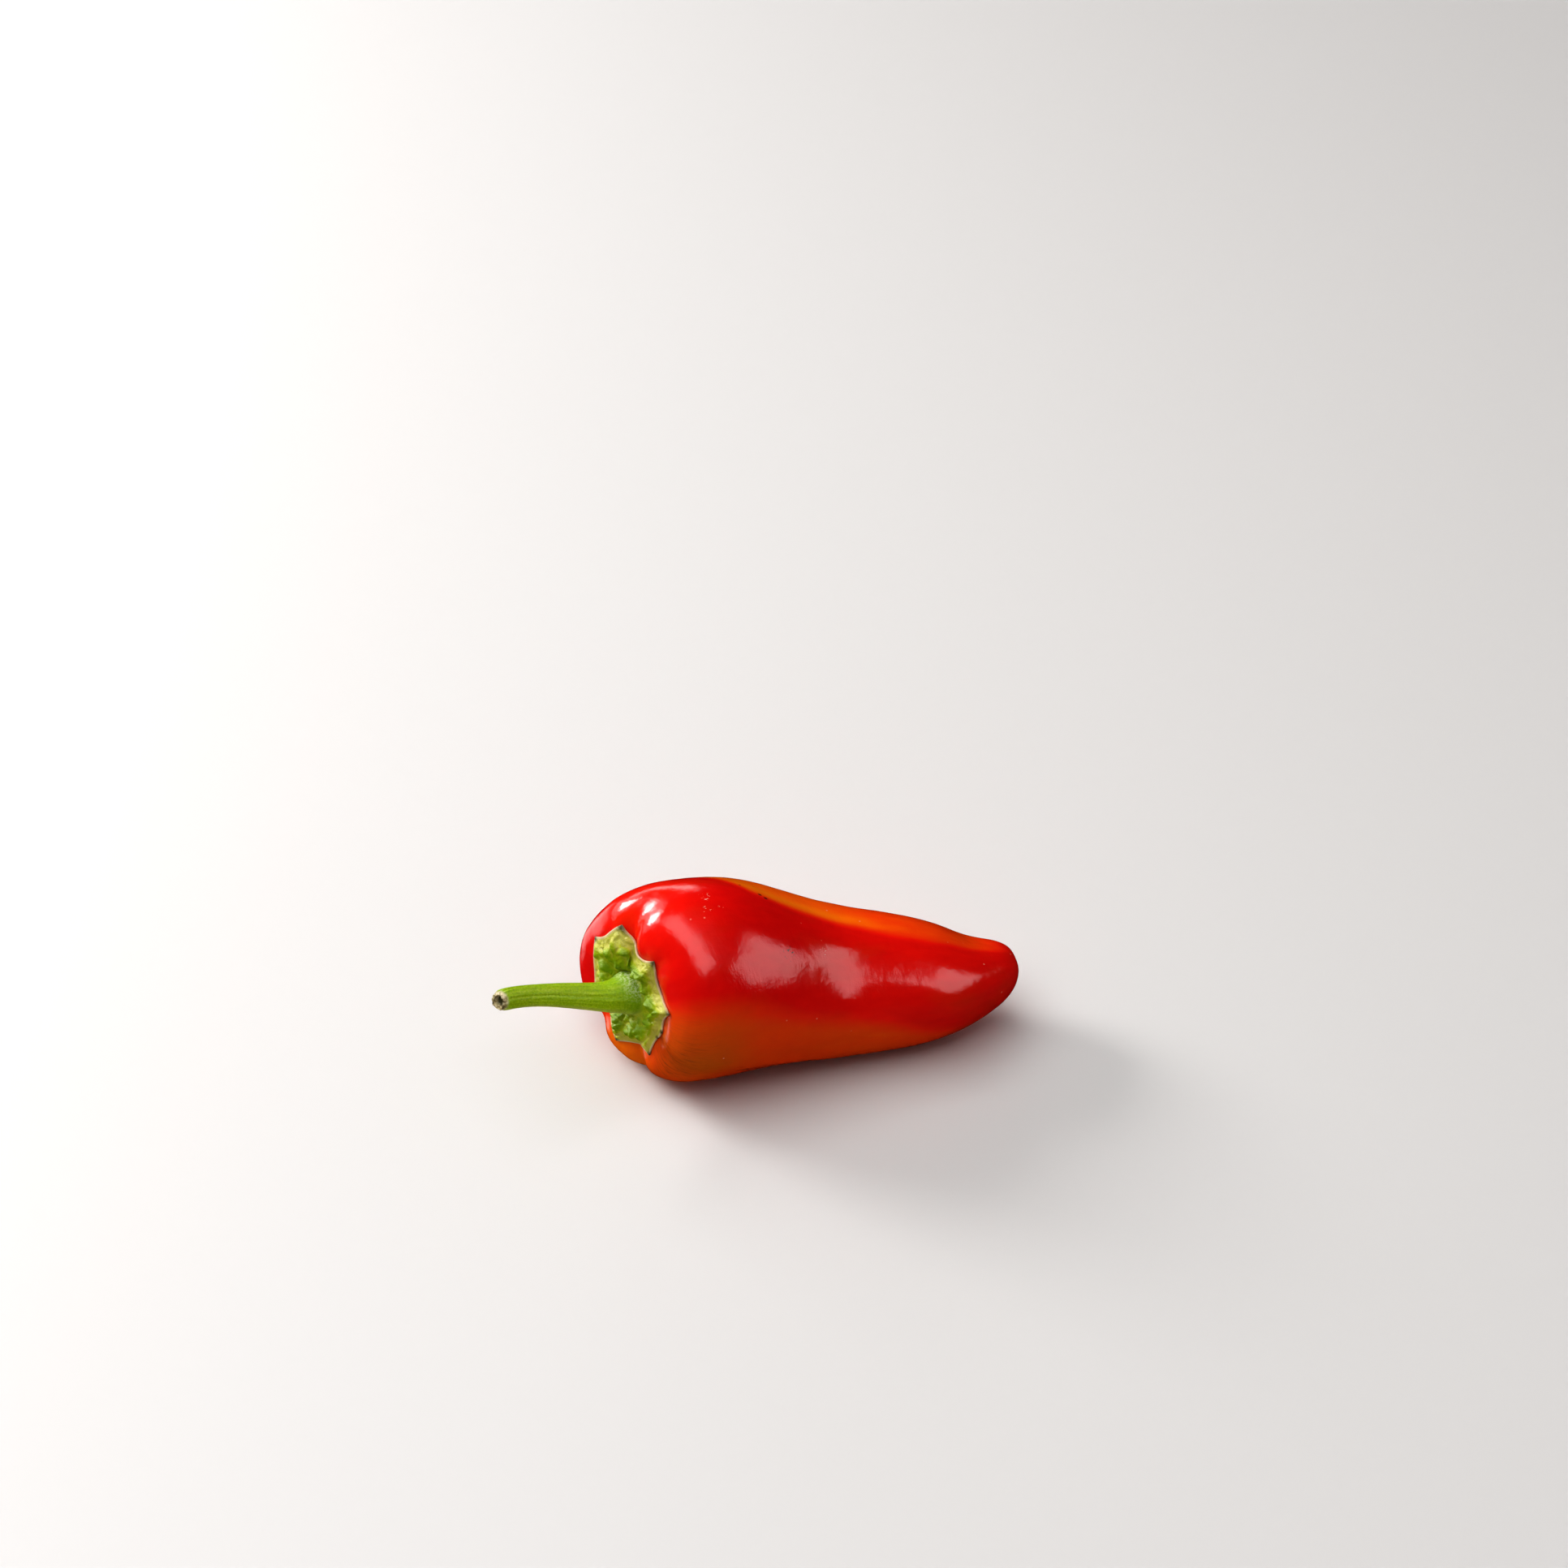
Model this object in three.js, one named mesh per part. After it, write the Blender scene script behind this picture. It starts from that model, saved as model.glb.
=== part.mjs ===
// A mini sweet pepper as picked, lying on its side. Millimetres, +Z up.
// The stem points to -X and the blossom end to +X. The origin is the middle of the base.
// Round the pepper's length, 0 degrees is the top, 90 the front (-Y), 180 the side it lies on.
import * as THREE from 'three';

// Fruit: outline from the middle of the calyx seat to the blossom end, as [along, radius].
const OUTLINE = [
  [8.6, 0], [8.6, 4.5], [7.4, 8.2], [5.8, 11], [5.9, 15.3], [9.6, 18.3], [17, 19], [27, 18.3], [37, 15.9],
  [48, 13.9], [58, 12.6], [65, 10.7], [71.5, 8.2], [76.5, 6], [79.2, 3.4], [79.1, 1.4], [79.1, 0],
];
// The slightly bent middle line of the fruit, as [along, y, z].
const MIDDLE_LINE = [
  [4, -2, 17.2], [9, -1.5, 17.6], [17, 0, 18.5], [30, 0, 17.3],
  [42, -1.2, 14], [57, -2.4, 12.1], [70, -3.4, 10.8], [80, -2.4, 11.6],
];
// Furrows between the lobes, and creases that the shoulder alone has: angle at the shoulder, how
// many degrees it turns in a millimetre, half width in degrees, depth over the shoulder, how far that
// reaches, depth along the body, and how far along that runs.
const FURROWS = [
  { angle: -18, twist: 0, width: 8, shoulder: 1.6, reach: 7, body: 0, run: 60 },
  { angle: -72, twist: 1.25, width: 16, shoulder: 0.3, reach: 9, body: 1.5, run: 70 },
  { angle: 20, twist: 0, width: 9, shoulder: 0.6, reach: 4, body: 0, run: 60 },
  { angle: 104, twist: 0.9, width: 9, shoulder: 0.7, reach: 6, body: 0.5, run: 50 },
  { angle: 156, twist: 0.2, width: 8, shoulder: 1.5, reach: 6, body: 0.3, run: 40 },
  { angle: 208, twist: 0.95, width: 13, shoulder: 1.4, reach: 9, body: 0.7, run: 60 },
];
// Low swells and hollows: distance from the calyx seat over the skin, its half length,
// angle, half width in degrees, height.
const SWELLS = [
  { at: 18, length: 9, angle: -50, width: 45, height: 1.6 },
  { at: 18, length: 7, angle: 165, width: 40, height: -1.6 },
  { at: 38, length: 15, angle: -45, width: 32, height: 1.9 },
  { at: 52, length: 14, angle: 55, width: 30, height: 0.9 },
  { at: 55, length: 8, angle: 44, width: 32, height: -1.6 },
  { at: 77, length: 10, angle: 62, width: 34, height: 2.4 },
  { at: 84, length: 6, angle: -22, width: 40, height: -1.3 },
];
// The shoulder end leans: millimetres back along X for each millimetre out to the front
// and up, and how soon that fades along the fruit.
const LEAN = { front: 0.42, up: -0.24, fade: 20, from: 6 };
// The skin is pressed flat this far up where the fruit lies.
const FLAT_SPOT = 0.35;
const FRUIT_RINGS = 44;
const FRUIT_SIDES = 64;

// Calyx: the tips of its points with the shallow corners between two of them, as angle,
// reach over the skin from the middle, and depth of the scallop to the next one.
const EDGE = [
  { angle: -61, reach: 13.2, scallop: 1.2 },
  { angle: -26, reach: 14.8, scallop: 3.2 },
  { angle: 14, reach: 12.9, scallop: 3.8 },
  { angle: 62, reach: 12.3, scallop: 2 },
  { angle: 94, reach: 9.4, scallop: 0.2 },
  { angle: 113, reach: 8.6, scallop: 0.6 },
  { angle: 131, reach: 11, scallop: 2 },
  { angle: 184, reach: 11.6, scallop: 1.2 },
  { angle: 240, reach: 10.8, scallop: 1 },
];
// Bulges between the veins: angle, place from the stem (0) to the edge (1), half width in
// degrees, half length, height.
const BULGES = [
  { angle: -66, at: 0.85, width: 8, length: 0.1, height: 0.5 },
  { angle: -72, at: 0.64, width: 9, length: 0.14, height: 0.7 },
  { angle: -46, at: 0.75, width: 7, length: 0.12, height: 0.7 },
  { angle: -40, at: 0.52, width: 8, length: 0.12, height: 0.7 },
  { angle: -19, at: 0.5, width: 6, length: 0.22, height: 0.8 },
  { angle: 3, at: 0.58, width: 11, length: 0.18, height: 1.1 },
  { angle: 30, at: 0.34, width: 13, length: 0.14, height: 0.9 },
  { angle: 60, at: 0.4, width: 14, length: 0.16, height: 1 },
  { angle: 72, at: 0.76, width: 8, length: 0.14, height: 0.6 },
  { angle: 105, at: 0.52, width: 9, length: 0.2, height: 0.8 },
  { angle: 140, at: 0.52, width: 8, length: 0.2, height: 0.9 },
  { angle: 165, at: 0.68, width: 6, length: 0.18, height: 0.7 },
  { angle: 190, at: 0.62, width: 9, length: 0.16, height: 0.9 },
  { angle: 225, at: 0.6, width: 11, length: 0.18, height: 0.8 },
  { angle: 264, at: 0.68, width: 10, length: 0.15, height: 0.7 },
];
const CALYX_GAP = 0.4;
const CALYX_EDGE_THICKNESS = 0.6;
const CALYX_MIDDLE_THICKNESS = 1.5;
const CALYX_STEP_DEGREES = 5.5;
const CALYX_TOP_STEPS = [0, 0.09, 0.18, 0.28, 0.4, 0.52, 0.64, 0.76, 0.88, 1];
const CALYX_UNDER_STEPS = [1, 0.82, 0.6, 0.35, 0.12];
const CALYX_START = 3;
// The raised seat that the stem grows from, set a little to the back of the calyx's middle.
const SEAT = { radius: 4.1, height: 2.5, back: 1.8, blend: 0.42, spread: 2, drop: 3.5 };

// Stem: its middle line from the seat, and its radius by distance along it.
const STEM_LINE = [
  [0, 0, 0], [-2.6, -1, 0.7], [-6.6, -1.4, 2], [-12.4, -2.1, 4.5],
  [-18.4, -3.3, 6.9], [-22.4, -5, 8.7], [-24.4, -6.5, 9.9],
];
const STEM_RADIUS = [
  [0, 4.1], [1.2, 3.6], [2.6, 3.15], [4.5, 2.8], [7, 2.55], [9.5, 2.42], [12, 2.3],
  [15, 2.15], [18, 2.04], [21, 2], [24.8, 2.02], [26, 1.93], [26.9, 1.62], [27.3, 1.45],
];
const STEM_GAP = 0.3;
const STEM_SIDES = 20;
const STEM_TURN_IN = 4;
// The dried, hollow cut end.
const CUT_END = { hollowRadius: 0.95, hollowDepth: 1.3, floorRadius: 0.7 };

const BACK_OF_FRUIT = new THREE.Vector3(30, 0, 17);

const clamp01 = (value) => Math.min(1, Math.max(0, value));
const smooth = (value) => {
  const v = clamp01(value);
  return v * v * (3 - 2 * v);
};
const hump = (value) => Math.exp(-value * value);
const turnBetween = (a, b) => THREE.MathUtils.euclideanModulo(a - b + 180, 360) - 180;

// A point on the smooth curve that the rows of numbers steer, at u from 0 to 1.
function curveAt(rows, u) {
  const padded = [rows[0], rows[0], ...rows, rows.at(-1), rows.at(-1)];
  const spans = padded.length - 3;
  const place = clamp01(u) * spans;
  const i = Math.min(Math.floor(place), spans - 1);
  const f = place - i;
  const weights = [
    (1 - f) ** 3 / 6,
    (3 * f ** 3 - 6 * f ** 2 + 4) / 6,
    (-3 * f ** 3 + 3 * f ** 2 + 3 * f + 1) / 6,
    f ** 3 / 6,
  ];
  return rows[0].map((_, column) =>
    weights.reduce((sum, weight, k) => sum + weight * padded[i + k][column], 0));
}

// Distance along a curve, sampled, so that a place can be found by it.
function measure(rows, samples = 2000) {
  const lengths = [0];
  let last = curveAt(rows, 0);
  for (let k = 1; k <= samples; k += 1) {
    const point = curveAt(rows, k / samples);
    lengths.push(lengths[k - 1] + Math.hypot(...point.map((value, c) => value - last[c])));
    last = point;
  }
  return lengths;
}

function placeAt(lengths, distance) {
  let low = 0;
  let high = lengths.length - 1;
  while (high - low > 1) {
    const middle = (low + high) >> 1;
    if (lengths[middle] <= distance) low = middle;
    else high = middle;
  }
  const part = (distance - lengths[low]) / (lengths[high] - lengths[low]);
  return clamp01((low + clamp01(part)) / (lengths.length - 1));
}

function interpolate(table, x) {
  const last = table.length - 1;
  if (x <= table[0][0]) return table[0].slice(1);
  if (x >= table[last][0]) return table[last].slice(1);
  const i = table.findIndex((row) => row[0] > x) - 1;
  const f = (x - table[i][0]) / (table[i + 1][0] - table[i][0]);
  return table[i].slice(1).map((value, c) => value + f * (table[i + 1][c + 1] - value));
}

const outlineLengths = measure(OUTLINE);
const skinLength = outlineLengths.at(-1);
const middleLine = Array.from({ length: 400 }, (_, k) => curveAt(MIDDLE_LINE, k / 399));

// A point of the fruit's skin, by distance over the skin from the calyx seat and by angle.
function skinPoint(distance, angle) {
  const u = placeAt(outlineLengths, distance);
  const [along, radius] = curveAt(OUTLINE, u);
  const before = curveAt(OUTLINE, clamp01(u - 1e-4));
  const after = curveAt(OUTLINE, clamp01(u + 1e-4));
  const slope = new THREE.Vector2(after[0] - before[0], after[1] - before[1]).normalize();
  let height = 0;
  for (const furrow of FURROWS) {
    const turn = turnBetween(angle, furrow.angle + furrow.twist * Math.max(along, 0));
    const overShoulder = hump((distance - 14) / furrow.reach) * smooth((distance - 3) / 5);
    const alongBody = smooth((distance - 10) / 12) * smooth((furrow.run - along) / 25);
    height -= hump(turn / furrow.width) * furrow.shoulder * overShoulder;
    height -= hump(turn / (1.5 * furrow.width)) * furrow.body * alongBody;
  }
  for (const swell of SWELLS) {
    const turn = turnBetween(angle, swell.angle);
    height += swell.height * hump((distance - swell.at) / swell.length) * hump(turn / swell.width);
  }
  const x = along - slope.y * height;
  const r = radius + slope.x * height;
  const front = Math.sin(THREE.MathUtils.degToRad(angle)) * r;
  const up = Math.cos(THREE.MathUtils.degToRad(angle)) * r;
  const lean = Math.exp(-((Math.max(along - LEAN.from, 0) / LEAN.fade) ** 2));
  const [middleY, middleZ] = interpolate(middleLine, x);
  return new THREE.Vector3(
    x + (LEAN.front * front - LEAN.up * up) * lean,
    middleY - front,
    middleZ + up,
  );
}

function skinNormal(distance, angle) {
  const across = skinPoint(distance, angle + 3).sub(skinPoint(distance, angle - 3));
  const along = skinPoint(distance + 0.05, angle).sub(skinPoint(distance - 0.05, angle));
  const normal = across.cross(along).normalize();
  const outwards = skinPoint(distance, angle).sub(BACK_OF_FRUIT);
  return normal.dot(outwards) < 0 ? normal.negate() : normal;
}

// A closed body from rings of points with an end point at either end.
function bodyFromRings(name, first, rings, last, material) {
  const points = [first, ...rings.flat(), last];
  const sides = rings[0].length;
  const at = (ring, side) => 1 + ring * sides + (side % sides);
  const triangles = [];
  for (let side = 0; side < sides; side += 1) {
    triangles.push(0, at(0, side + 1), at(0, side));
    for (let ring = 0; ring < rings.length - 1; ring += 1) {
      triangles.push(at(ring, side), at(ring, side + 1), at(ring + 1, side + 1));
      triangles.push(at(ring, side), at(ring + 1, side + 1), at(ring + 1, side));
    }
    triangles.push(points.length - 1, at(rings.length - 1, side), at(rings.length - 1, side + 1));
  }
  const geometry = new THREE.BufferGeometry().setFromPoints(points);
  geometry.setIndex(triangles);
  geometry.computeVertexNormals();
  const mesh = new THREE.Mesh(geometry, material);
  mesh.name = name;
  return mesh;
}

// Fruit
const fruitAngles = Array.from({ length: FRUIT_SIDES }, (_, k) => (k * 360) / FRUIT_SIDES);
const fruitRings = [];
for (let ring = 1; ring < FRUIT_RINGS - 1; ring += 1) {
  const distance = (skinLength * ring) / (FRUIT_RINGS - 1);
  fruitRings.push(fruitAngles.map((angle) => skinPoint(distance, angle)));
}
const lowest = Math.min(...fruitRings.flat().map((point) => point.z)) + FLAT_SPOT;
fruitRings.flat().forEach((point) => {
  point.z = Math.max(point.z, lowest);
});
const fruit = bodyFromRings(
  'fruit',
  skinPoint(0, 0),
  fruitRings,
  skinPoint(skinLength, 0),
  new THREE.MeshStandardMaterial({ color: 0xc8140f, roughness: 0.18, metalness: 0 }),
);

// The plane that the stem grows from
const seatRing = fruitAngles.map((angle) => skinNormal(0.4, angle));
const seatAxis = seatRing.reduce((sum, normal) => sum.add(normal), new THREE.Vector3()).normalize();
const seatUp = new THREE.Vector3(0, 0, 1).addScaledVector(seatAxis, -seatAxis.z).normalize();
const seatFront = new THREE.Vector3().crossVectors(seatAxis, seatUp);
if (seatFront.y > 0) seatFront.negate();
const seatCentre = skinPoint(0, 0)
  .addScaledVector(seatFront, -SEAT.back)
  .addScaledVector(seatAxis, SEAT.height);

function aroundAxis(angle, up, front) {
  const turn = THREE.MathUtils.degToRad(angle);
  return new THREE.Vector3()
    .addScaledVector(up, Math.cos(turn))
    .addScaledVector(front, Math.sin(turn));
}

// Calyx
function edgeReach(angle) {
  for (let i = 0; i < EDGE.length; i += 1) {
    const from = EDGE[i];
    const to = EDGE[(i + 1) % EDGE.length];
    const span = THREE.MathUtils.euclideanModulo(to.angle - from.angle, 360);
    const part = THREE.MathUtils.euclideanModulo(angle - from.angle, 360) / span;
    if (part < 1) {
      const straight = from.reach + (to.reach - from.reach) * part;
      return straight - from.scallop * (1 - (2 * part - 1) ** 2);
    }
  }
  return EDGE[0].reach;
}

function overSkin(place, angle, height) {
  const distance = CALYX_START + (edgeReach(angle) - CALYX_START) * place;
  return skinPoint(distance, angle).addScaledVector(skinNormal(distance, angle), height);
}

function calyxTop(place, angle) {
  const thicker = CALYX_MIDDLE_THICKNESS - CALYX_EDGE_THICKNESS;
  let height = CALYX_GAP + CALYX_EDGE_THICKNESS + thicker * smooth((1 - place) / 0.35);
  for (const bulge of BULGES) {
    const turn = turnBetween(angle, bulge.angle) / bulge.width;
    height += bulge.height * hump(turn) * hump((place - bulge.at) / bulge.length);
  }
  const rim = seatCentre.clone()
    .addScaledVector(aroundAxis(angle, seatUp, seatFront), SEAT.radius + SEAT.spread * place)
    .addScaledVector(seatAxis, -SEAT.drop * place);
  return rim.lerp(overSkin(place, angle, height), smooth(place / SEAT.blend));
}

const calyxAngles = EDGE.flatMap((from, i) => {
  const span = THREE.MathUtils.euclideanModulo(EDGE[(i + 1) % EDGE.length].angle - from.angle, 360);
  const steps = Math.round(span / CALYX_STEP_DEGREES);
  return Array.from({ length: steps }, (_, k) => from.angle + (span * k) / steps);
});
const calyxRings = [
  ...CALYX_TOP_STEPS.map((place) => calyxAngles.map((angle) => calyxTop(place, angle))),
  ...CALYX_UNDER_STEPS.map((place) =>
    calyxAngles.map((angle) => overSkin(place, angle, CALYX_GAP))),
];
const calyx = bodyFromRings(
  'calyx',
  seatCentre,
  calyxRings,
  skinPoint(0, 0).addScaledVector(seatAxis, CALYX_GAP),
  new THREE.MeshStandardMaterial({ color: 0x6f9a2e, roughness: 0.4, metalness: 0 }),
);

// Stem
const stemLengths = measure(STEM_LINE);
const stemRoot = seatCentre.clone().addScaledVector(seatAxis, STEM_GAP);
function stemFrame(distance) {
  const u = placeAt(stemLengths, distance);
  const centre = new THREE.Vector3(...curveAt(STEM_LINE, u)).add(stemRoot);
  const direction = new THREE.Vector3(...curveAt(STEM_LINE, clamp01(u + 1e-3)))
    .sub(new THREE.Vector3(...curveAt(STEM_LINE, clamp01(u - 1e-3))))
    .normalize();
  const axis = seatAxis.clone().lerp(direction, clamp01(distance / STEM_TURN_IN)).normalize();
  const up = seatUp.clone().addScaledVector(axis, -seatUp.dot(axis)).normalize();
  const front = new THREE.Vector3().crossVectors(axis, up);
  if (front.y > 0) front.negate();
  return { centre, axis, up, front };
}

const stemAngles = Array.from({ length: STEM_SIDES }, (_, k) => (k * 360) / STEM_SIDES);
function stemRing({ centre, axis, up, front }, radius, depth) {
  return stemAngles.map((angle) => centre.clone()
    .addScaledVector(aroundAxis(angle, up, front), radius)
    .addScaledVector(axis, -depth));
}

const cutFrame = stemFrame(STEM_RADIUS.at(-1)[0]);
const stemRings = STEM_RADIUS.map(([distance, radius]) =>
  stemRing(stemFrame(distance), radius, 0));
stemRings.push(stemRing(cutFrame, CUT_END.hollowRadius, 0));
stemRings.push(stemRing(cutFrame, CUT_END.floorRadius, CUT_END.hollowDepth));
const stem = bodyFromRings(
  'stem',
  stemRoot,
  stemRings,
  cutFrame.centre.clone().addScaledVector(cutFrame.axis, -CUT_END.hollowDepth),
  new THREE.MeshStandardMaterial({ color: 0x6c8f1f, roughness: 0.55, metalness: 0 }),
);

// Triangles face outwards
function faceOutwards(mesh) {
  const index = mesh.geometry.getIndex();
  const position = mesh.geometry.getAttribute('position');
  const corner = (i) => new THREE.Vector3().fromBufferAttribute(position, index.getX(i));
  let volume = 0;
  for (let i = 0; i < index.count; i += 3) {
    volume += corner(i).dot(corner(i + 1).cross(corner(i + 2)));
  }
  if (volume < 0) {
    for (let i = 0; i < index.count; i += 3) {
      const second = index.getX(i + 1);
      index.setX(i + 1, index.getX(i + 2));
      index.setX(i + 2, second);
    }
    mesh.geometry.computeVertexNormals();
  }
}

const group = new THREE.Group();
group.add(fruit, calyx, stem);
group.children.forEach(faceOutwards);

// The middle of the base goes to the origin
const box = new THREE.Box3().setFromObject(group);
const shift = new THREE.Vector3(
  -(box.min.x + box.max.x) / 2,
  -(box.min.y + box.max.y) / 2,
  -box.min.z,
);
group.children.forEach((mesh) => mesh.geometry.translate(shift.x, shift.y, shift.z));

export default group;
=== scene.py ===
import math

import bpy
import numpy as np
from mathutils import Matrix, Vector, noise


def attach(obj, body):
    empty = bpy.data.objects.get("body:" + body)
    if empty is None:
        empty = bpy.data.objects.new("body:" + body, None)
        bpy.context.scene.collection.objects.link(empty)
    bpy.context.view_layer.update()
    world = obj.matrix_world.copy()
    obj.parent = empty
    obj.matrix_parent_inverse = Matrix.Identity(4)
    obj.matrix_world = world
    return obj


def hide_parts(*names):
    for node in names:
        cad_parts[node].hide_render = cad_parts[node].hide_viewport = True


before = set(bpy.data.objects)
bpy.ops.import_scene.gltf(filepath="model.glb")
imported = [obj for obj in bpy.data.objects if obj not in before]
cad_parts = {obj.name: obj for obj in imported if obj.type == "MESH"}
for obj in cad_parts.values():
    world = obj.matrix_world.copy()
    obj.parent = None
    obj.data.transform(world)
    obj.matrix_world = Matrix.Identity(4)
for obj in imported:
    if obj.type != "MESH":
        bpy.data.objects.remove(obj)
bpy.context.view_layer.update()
bpy.ops.object.select_all(action="DESELECT")

# Fruit
# The ripe seed pod: one piece of flesh with four lobes, furrowed over the shoulder and pinched at the
# blossom end, in a thin waxy skin. It grew from the calyx, and ripened to red last along its shaded side.

# Lengths along the fruit and radii are in millimetres, and 0 degrees is the top, 90 the side that faces
# the camera and 180 the side the fruit lies on.
MM = 0.001
OUTLINE = [
    (8.6, 0), (8.6, 4.5), (7.4, 8.2), (5.8, 11), (5.9, 15.3), (9.6, 18.3), (17, 19), (27, 18.3), (37, 15.9),
    (48, 13.9), (58, 12.6), (65, 10.7), (71.5, 8.2), (76.5, 6), (79.2, 3.4), (79.1, 1.4), (79.1, 0),
]
MIDDLE_LINE = [
    (4, -2, 17.2), (9, -1.5, 17.6), (17, 0, 18.5), (30, 0, 17.3),
    (42, -1.2, 14), (57, -2.4, 12.1), (70, -3.4, 10.8), (80, -2.4, 11.6),
]
# angle at the shoulder, turn in degrees a millimetre, half width in degrees, depth over the shoulder,
# half length of that, depth on the body, run
FURROWS = [
    (-18, 0.0, 8, 1.6, 7, 0.0, 60),
    (-72, 1.25, 16, 0.3, 9, 1.5, 70),
    (20, 0.0, 9, 0.6, 4, 0.0, 60),
    (104, 0.9, 9, 0.7, 6, 0.5, 50),
    (156, 0.2, 8, 1.5, 6, 0.3, 40),
    (208, 0.95, 13, 1.4, 9, 0.7, 60),
]
# distance over the skin, half length, angle, half width in degrees, height
SWELLS = [
    (18, 9, -50, 45, 1.6), (18, 7, 165, 40, -1.6), (38, 15, -45, 32, 1.9), (52, 14, 55, 30, 0.9),
    (55, 8, 44, 32, -1.6), (77, 10, 62, 34, 2.4), (84, 6, -22, 40, -1.3),
]
LEAN_FRONT, LEAN_UP, LEAN_FADE, LEAN_FROM = 0.42, -0.24, 20, 6
FLAT_SPOT = 0.35
FRUIT_SIDES = 288
FRUIT_RINGS = 224
# where the middle of the base lies in the lengths above
BASE = np.array([29.668, -0.213, -0.349])
INSIDE = np.array([30, 0, 17])


def smooth(x):
    x = np.clip(x, 0, 1)
    return x * x * (3 - 2 * x)


def hump(x):
    return np.exp(-x * x)


def turn_between(a, b):
    return (a - b + 180) % 360 - 180


def curve_at(rows, u):
    rows = np.asarray(rows, float)
    rows = np.vstack([rows[:1], rows[:1], rows, rows[-1:], rows[-1:]])
    spans = len(rows) - 3
    place = np.clip(np.asarray(u, float), 0, 1) * spans
    i = np.minimum(place.astype(int), spans - 1)
    f = (place - i)[..., None]
    return (
        rows[i] * (1 - f) ** 3 / 6
        + rows[i + 1] * (3 * f**3 - 6 * f**2 + 4) / 6
        + rows[i + 2] * (-3 * f**3 + 3 * f**2 + 3 * f + 1) / 6
        + rows[i + 3] * f**3 / 6
    )


def measure(rows):
    u = np.linspace(0, 1, 2001)
    steps = np.linalg.norm(np.diff(curve_at(rows, u), axis=0), axis=1)
    return u, np.concatenate([[0], np.cumsum(steps)])


outline_u, outline_length = measure(OUTLINE)
SKIN_LENGTH = outline_length[-1]
middle = curve_at(MIDDLE_LINE, np.linspace(0, 1, 400))


def skin_point(distance, angle, proud=0.0):
    u = np.interp(distance, outline_length, outline_u)
    along, radius = np.moveaxis(curve_at(OUTLINE, u), -1, 0)
    slope = curve_at(OUTLINE, u + 1e-4) - curve_at(OUTLINE, u - 1e-4)
    slope = slope / np.linalg.norm(slope, axis=-1)[..., None]
    height = np.zeros(np.shape(distance)) + proud
    for at, twist, width, shoulder, reach, body, run in FURROWS:
        turn = turn_between(angle, at + twist * np.maximum(along, 0))
        over = hump((distance - 14) / reach) * smooth((distance - 3) / 5)
        beside = smooth((distance - 10) / 12) * smooth((run - along) / 25)
        height = height - hump(turn / width) * shoulder * over
        height = height - hump(turn / (1.5 * width)) * body * beside
    for at, length, turned, width, high in SWELLS:
        height = height + high * hump((distance - at) / length) * hump(turn_between(angle, turned) / width)
    x = along - slope[..., 1] * height
    r = radius + slope[..., 0] * height
    front = np.sin(np.radians(angle)) * r
    up = np.cos(np.radians(angle)) * r
    lean = np.exp(-((np.maximum(along - LEAN_FROM, 0) / LEAN_FADE) ** 2))
    y = np.interp(x, middle[:, 0], middle[:, 1]) - front
    z = np.interp(x, middle[:, 0], middle[:, 2]) + up
    return np.stack([x + (LEAN_FRONT * front - LEAN_UP * up) * lean, y, z], -1)


def skin_normal(distance, angle):
    across = skin_point(distance, angle + 3) - skin_point(distance, angle - 3)
    along = skin_point(distance + 0.05, angle) - skin_point(distance - 0.05, angle)
    normal = np.cross(across, along)
    normal /= np.linalg.norm(normal, axis=-1)[..., None]
    outwards = skin_point(distance, angle) - INSIDE
    return np.where((normal * outwards).sum(-1)[..., None] < 0, -normal, normal)


def closed_form(name, sides, rings):
    """A ball with a pole at each end, and each of its points' ring (0 to rings) and side angle."""
    bpy.ops.mesh.primitive_uv_sphere_add(segments=sides, ring_count=rings, radius=1)
    ball = bpy.context.object
    ball.name = name
    ball.data.name = name
    points = np.empty(len(ball.data.vertices) * 3)
    ball.data.vertices.foreach_get("co", points)
    points = points.reshape(-1, 3)
    ring = np.rint(np.arccos(np.clip(points[:, 2], -1, 1)) / math.pi * rings).astype(int)
    side = np.rint(np.arctan2(points[:, 1], points[:, 0]) / (2 * math.pi) * sides).astype(int) % sides
    return ball, ring, side


def set_points(piece, points):
    """Puts the piece's points, in millimetres as above, at their place over the base."""
    piece.data.vertices.foreach_set("co", ((points - BASE) * MM).ravel())
    piece.data.update()
    bpy.ops.object.select_all(action="DESELECT")
    piece.select_set(True)
    bpy.context.view_layer.objects.active = piece
    bpy.ops.object.mode_set(mode="EDIT")
    bpy.ops.mesh.select_all(action="SELECT")
    bpy.ops.mesh.normals_make_consistent(inside=False)
    bpy.ops.object.mode_set(mode="OBJECT")
    bpy.ops.object.shade_smooth()
    piece.select_set(False)


def set_measure(piece, name, values):
    piece.data.attributes.new(name, "FLOAT", "POINT").data.foreach_set("value", values.astype(np.float32))


def set_grown(piece, angle, distance):
    """Keeps how each point lies round the axis, as cosine and sine, and how far out, in millimetres."""
    grown = np.stack([np.cos(np.radians(angle)), np.sin(np.radians(angle)), distance], -1)
    grown = grown.astype(np.float32).ravel()
    piece.data.attributes.new("grown", "FLOAT_VECTOR", "POINT").data.foreach_set("vector", grown)


def noise_at(points, size, seed=0.0):
    """Even noise of about -1 to 1 with grains of the given size, at each point."""
    return np.array([noise.noise(Vector(p) / size + Vector((seed, 0, 0))) for p in points.tolist()])


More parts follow.
